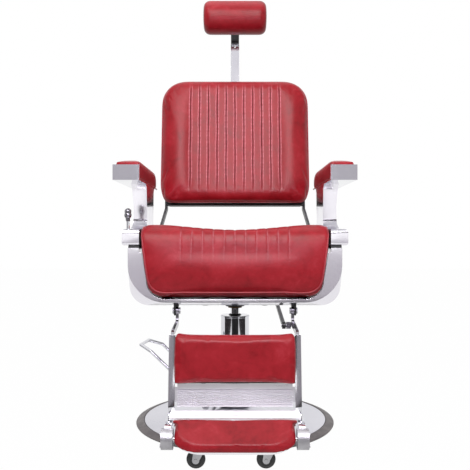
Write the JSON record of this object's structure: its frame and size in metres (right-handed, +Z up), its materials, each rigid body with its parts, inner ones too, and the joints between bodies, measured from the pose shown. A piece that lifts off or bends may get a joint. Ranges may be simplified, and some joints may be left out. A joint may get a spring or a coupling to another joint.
{
  "type": "barber chair",
  "caption": "Hydraulic barber chair with a round base, swivelling seat, padded arms, reclining back, sliding headrest, linked footrest with a flip panel on casters.",
  "frame": {"origin": "on the floor at the axis of the pump, at the base's underside", "axes": "+Z up, the sitter faces -Y, +X is the sitter's left"},
  "size_m": [0.68, 0.9065, 1.4451],
  "materials": {
    "cast_iron": "rough cast, hidden under the cover",
    "polished_cover": "satin polished dome",
    "floor_rubber": "matte moulded rim",
    "chrome": "mirror chrome plate",
    "plain_steel": "zinc plated steel",
    "seal_rubber": "smooth black rubber",
    "bronze": "turned bearing bronze",
    "black_paint": "satin black powder coat",
    "polished_aluminium": "polished castings and plate",
    "satin_aluminium": "brushed and fluted plate, satin castings",
    "plywood": "bare plywood",
    "black_board": "black board under grained vinyl",
    "red_leather": "semi gloss red leather with soft mottling",
    "black_plastic": "moulded black plastic",
    "caster_tyre": "black rubber tyre on a moulded core"
  },
  "bodies": {
    "base": {"base_plate": "cast_iron", "base_cover": "polished_cover", "base_rim": "floor_rubber", "pump_sleeve": "chrome", "sleeve_cap": "chrome", "pump_cylinder": "plain_steel", "rod_wiper": "seal_rubber", "guide_bush": "bronze", "base_bolts": "plain_steel", "pedal_bracket": "plain_steel"},
    "pedal": {"pump_pedal": "chrome", "pedal_shaft": "plain_steel"},
    "ram": {"ram": "chrome", "piston_head": "plain_steel", "piston_seal": "seal_rubber"},
    "seat": {"swivel_bush": "bronze", "seat_mount": "black_paint", "mount_bolts": "plain_steel", "seat_skirt": "polished_aluminium", "chassis_plate": "black_paint", "seat_board": "plywood", "seat_cushion": "red_leather", "arm_gaskets": "seal_rubber", "arm_casting_left": "polished_aluminium", "arm_casting_right": "polished_aluminium", "arm_rail_left": "chrome", "arm_rail_right": "chrome", "arm_pad_left": "red_leather", "arm_pad_right": "red_leather", "back_lugs": "black_paint", "foot_lugs": "black_paint", "foot_pins": "plain_steel"},
    "backrest": {"back_shaft": "plain_steel", "hinge_arm_left": "black_paint", "hinge_arm_right": "black_paint", "back_shell": "black_board", "back_cushion": "red_leather", "headrest_guide": "black_paint", "headrest_knob": "black_plastic"},
    "headrest": {"headrest_bar": "chrome", "headrest_bracket": "black_paint", "headrest_cushion": "red_leather"},
    "recline_lever": {"lever_stem": "chrome", "lever_knob": "chrome"},
    "footrest": {"hanger_left": "chrome", "hanger_right": "chrome", "side_rail_left": "chrome", "side_rail_right": "chrome", "calf_board": "black_board", "calf_pad": "red_leather", "kick_plate": "satin_aluminium", "step_plate": "satin_aluminium", "hinge_blocks": "satin_aluminium", "caster_sockets": "plain_steel"},
    "flip_panel": {"flip_tread": "satin_aluminium", "flip_pad": "red_leather"},
    "fork_left": {"caster_fork_left": "plain_steel"},
    "fork_right": {"caster_fork_right": "plain_steel"},
    "wheel_left": {"caster_wheel_left": "caster_tyre"},
    "wheel_right": {"caster_wheel_right": "caster_tyre"},
    "link": {"push_link": "black_paint"}
  },
  "joints": [
    {"name": "pedal_press", "type": "hinge", "parent": "base", "child": "pedal", "pos_m": [-0.07922, 0.01113, 0.062], "axis": [-0.1392, -0.9903, 0], "range_deg": [0, 22], "stiffness_Nm_per_rad": 8, "springref_deg": -28.65},
    {"name": "ram_lift", "type": "slide", "parent": "base", "child": "ram", "axis": [0, 0, 1], "range_m": [0, 0.15]},
    {"name": "seat_swivel", "type": "hinge", "parent": "ram", "child": "seat", "pos_m": [0, 0, 0.387], "axis": [0, 0, 1], "continuous": true},
    {"name": "back_recline", "type": "hinge", "parent": "seat", "child": "backrest", "pos_m": [0, 0.24, 0.415], "axis": [-1, 0, 0], "range_deg": [0, 45]},
    {"name": "headrest_slide", "type": "slide", "parent": "backrest", "child": "headrest", "axis": [0, 0.1564, 0.9877], "range_m": [-0.165, 0]},
    {"name": "footrest_swing", "type": "hinge", "parent": "seat", "child": "footrest", "pos_m": [0, -0.2, 0.37], "axis": [-1, 0, 0], "range_deg": [0, 45]},
    {"name": "link_swing", "type": "hinge", "parent": "backrest", "child": "link", "pos_m": [0.141, 0.259, 0.37], "axis": [-1, 0, 0], "range_deg": [-45, 0]},
    {"name": "panel_flip", "type": "hinge", "parent": "footrest", "child": "flip_panel", "pos_m": [0, -0.486, 0.095], "axis": [-1, 0, 0], "range_deg": [0, 180]},
    {"name": "lever_pull", "type": "hinge", "parent": "seat", "child": "recline_lever", "pos_m": [-0.304, -0.212, 0.575], "axis": [-1, 0, 0], "range_deg": [0, 22], "stiffness_Nm_per_rad": 0.6, "springref_deg": -28.65},
    {"name": "caster_swivel_left", "type": "hinge", "parent": "footrest", "child": "fork_left", "pos_m": [0.088, -0.42, 0.066], "axis": [0, 0, 1], "continuous": true},
    {"name": "caster_swivel_right", "type": "hinge", "parent": "footrest", "child": "fork_right", "pos_m": [-0.088, -0.42, 0.066], "axis": [0, 0, 1], "continuous": true},
    {"name": "wheel_spin_left", "type": "hinge", "parent": "fork_left", "child": "wheel_left", "pos_m": [0.078, -0.42, 0.024], "axis": [0, 1, 0], "continuous": true},
    {"name": "wheel_spin_right", "type": "hinge", "parent": "fork_right", "child": "wheel_right", "pos_m": [-0.098, -0.42, 0.024], "axis": [0, 1, 0], "continuous": true}
  ],
  "couplings": [
    {"joint": "footrest_swing", "follows": "back_recline", "ratio": 1},
    {"joint": "link_swing", "follows": "back_recline", "ratio": -1}
  ]
}
